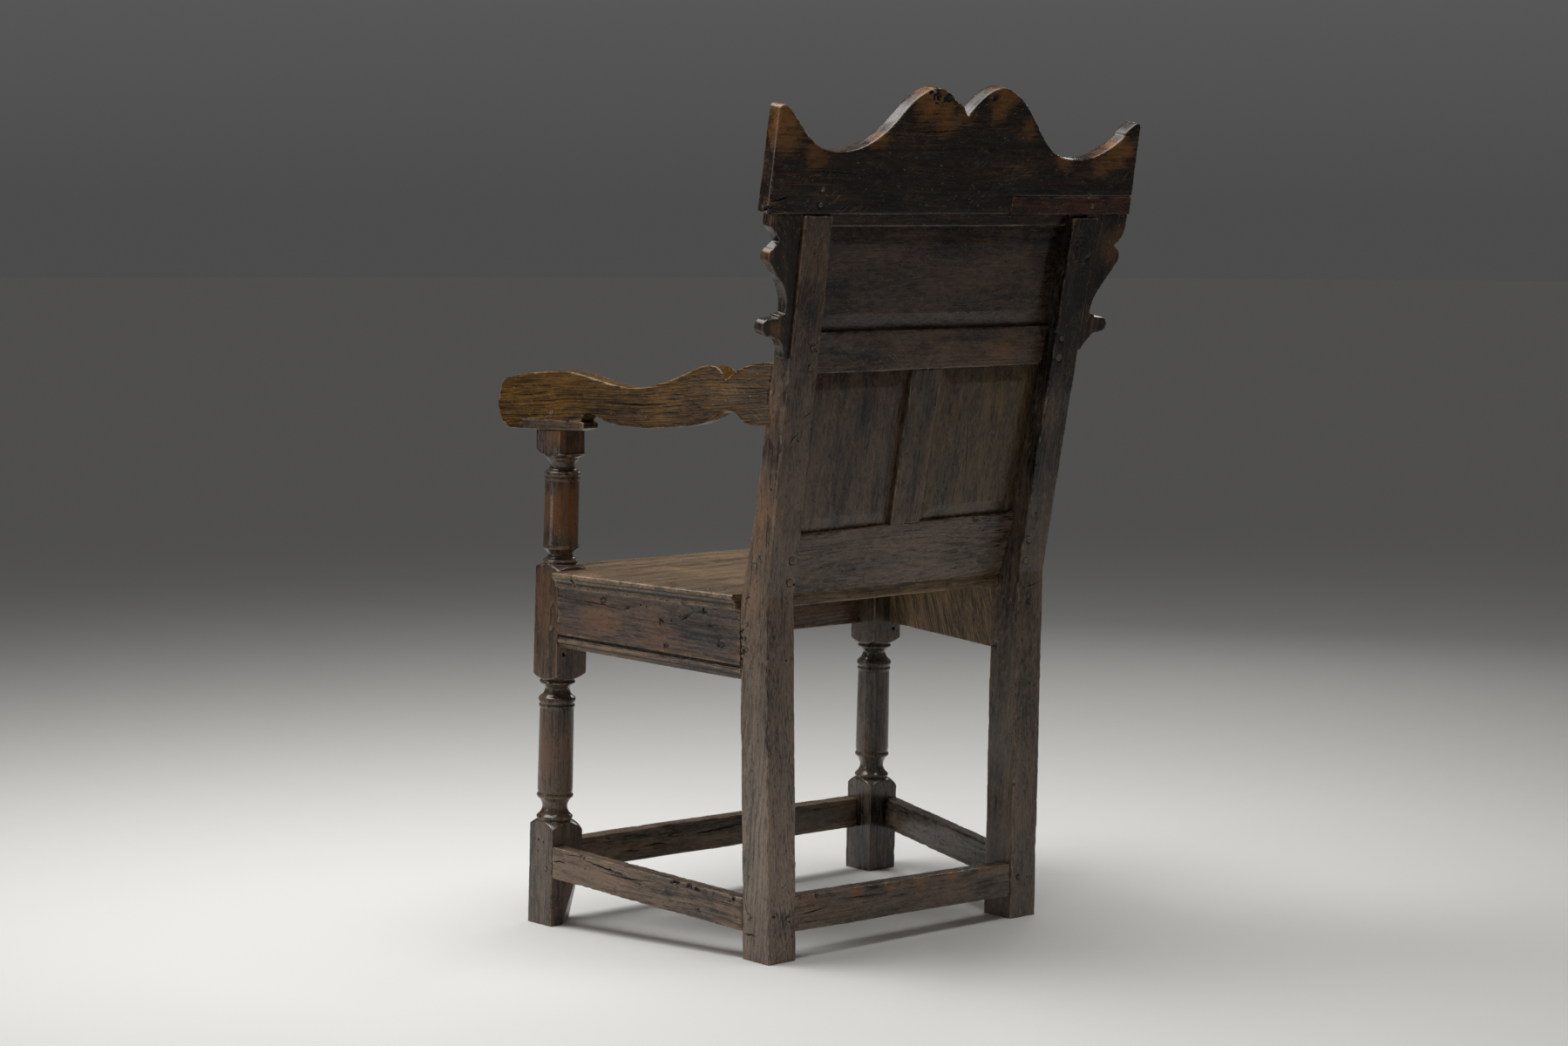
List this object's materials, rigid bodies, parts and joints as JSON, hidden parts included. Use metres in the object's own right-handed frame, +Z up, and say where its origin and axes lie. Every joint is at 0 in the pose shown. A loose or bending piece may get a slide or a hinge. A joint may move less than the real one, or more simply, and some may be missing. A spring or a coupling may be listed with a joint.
{
  "type": "armchair",
  "caption": "Joined oak wainscot armchair with a raked panelled back, humped crest, scrolled ears, shaped arms, turned front posts and a board seat.",
  "frame": {"origin": "on the floor, at the middle of the chair's overall width and depth", "axes": "+X to the sitter's left, +Y to the back of the chair, +Z up"},
  "size_m": [0.6542, 0.5824, 1.1218],
  "materials": {
    "frame_oak": "old waxed oak, dark brown with a grey bloom",
    "arm_oak": "old oak, dark brown rubbed to amber, soft wax sheen",
    "crest_oak": "old waxed oak, nearly black with amber edges",
    "back_oak": "old oak, grey brown, matt with open grain",
    "panel_oak": "old oak, grey brown, matt",
    "seat_oak": "old oak, mid brown, rubbed and waxed",
    "peg": "oak end grain",
    "nail": "hand-made iron, black"
  },
  "bodies": {
    "root": {"left_front_post": "frame_oak", "right_front_post": "frame_oak", "left_rear_stile": "frame_oak", "right_rear_stile": "frame_oak", "front_seat_rail": "frame_oak", "left_seat_rail": "frame_oak", "right_seat_rail": "frame_oak", "front_stretcher": "frame_oak", "rear_stretcher": "frame_oak", "left_stretcher": "frame_oak", "right_stretcher": "frame_oak", "left_arm_pad": "frame_oak", "right_arm_pad": "frame_oak", "left_arm": "arm_oak", "right_arm": "arm_oak", "crest": "crest_oak", "crest_patch": "crest_oak", "left_ear": "crest_oak", "right_ear": "crest_oak", "top_rail": "back_oak", "middle_rail": "back_oak", "bottom_rail": "back_oak", "muntin": "back_oak", "upper_panel": "panel_oak", "lower_left_panel": "panel_oak", "lower_right_panel": "panel_oak", "seat_front_board": "seat_oak", "seat_main_board": "seat_oak", "back_pegs": "peg", "crest_pegs": "peg", "arm_pegs": "peg", "seat_rail_pegs": "peg", "stretcher_pegs": "peg", "seat_pegs": "peg", "ear_nails": "nail"}
  },
  "joints": []
}
